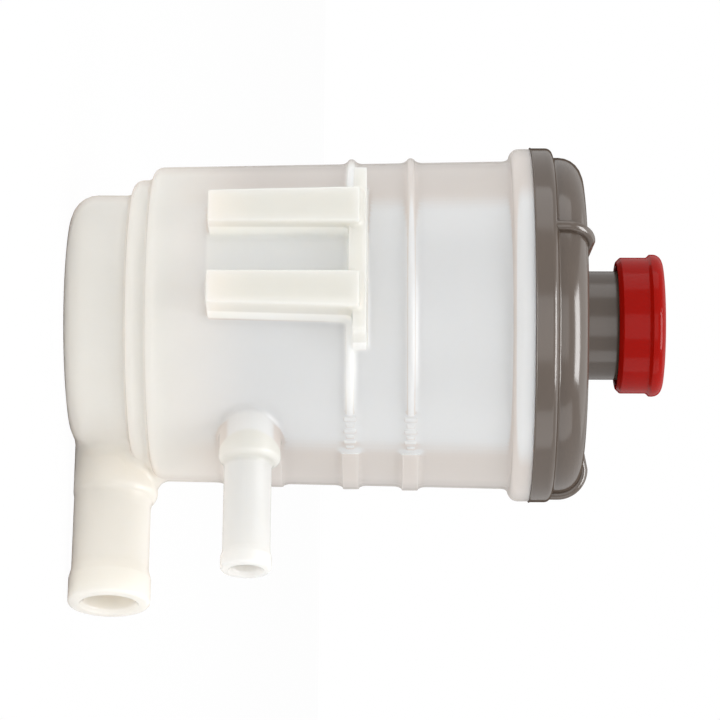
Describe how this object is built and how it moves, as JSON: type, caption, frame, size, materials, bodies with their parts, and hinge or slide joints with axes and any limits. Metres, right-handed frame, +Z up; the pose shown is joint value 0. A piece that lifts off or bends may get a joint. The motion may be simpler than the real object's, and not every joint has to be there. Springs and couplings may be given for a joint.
{
  "type": "power steering reservoir",
  "caption": "Stepped translucent fluid tank with side hose nozzles and slide-in mounting rails, closed by a welded cover with a filler neck and a push-on cap.",
  "frame": {"origin": "centre of the tank's flat base", "axes": "+Z up the tank's axis to the cap; the hose nozzles point along +X; the mounting rails face -Y"},
  "size_m": [0.1122, 0.0897, 0.1433],
  "materials": {
    "tank_plastic": "milky translucent polypropylene, satin gloss",
    "cover_plastic": "warm grey polypropylene with a fine moulded texture",
    "cap_plastic": "glossy red",
    "insert_plastic": "black, fine texture",
    "seal_rubber": "matt black",
    "breather_felt": "pale felt",
    "strainer_plastic": "natural nylon, satin",
    "mesh_nylon": "fine woven nylon"
  },
  "bodies": {
    "tank": {"tank_body": "tank_plastic", "tank_cover": "cover_plastic", "strainer_frame": "strainer_plastic", "strainer_mesh": "mesh_nylon", "baffle_plate": "strainer_plastic"},
    "cap_core": {"cap_insert": "insert_plastic", "cap_seal": "seal_rubber", "breather_disc": "breather_felt"},
    "cap": {"filler_cap": "cap_plastic"}
  },
  "joints": [
    {"name": "cap_lift", "type": "slide", "parent": "tank", "child": "cap_core", "axis": [0, 0, 1], "range_m": [0, 0.04]},
    {"name": "cap_turn", "type": "hinge", "parent": "cap_core", "child": "cap", "pos_m": [0, 0, 0.141], "axis": [0, 0, 1], "continuous": true}
  ]
}
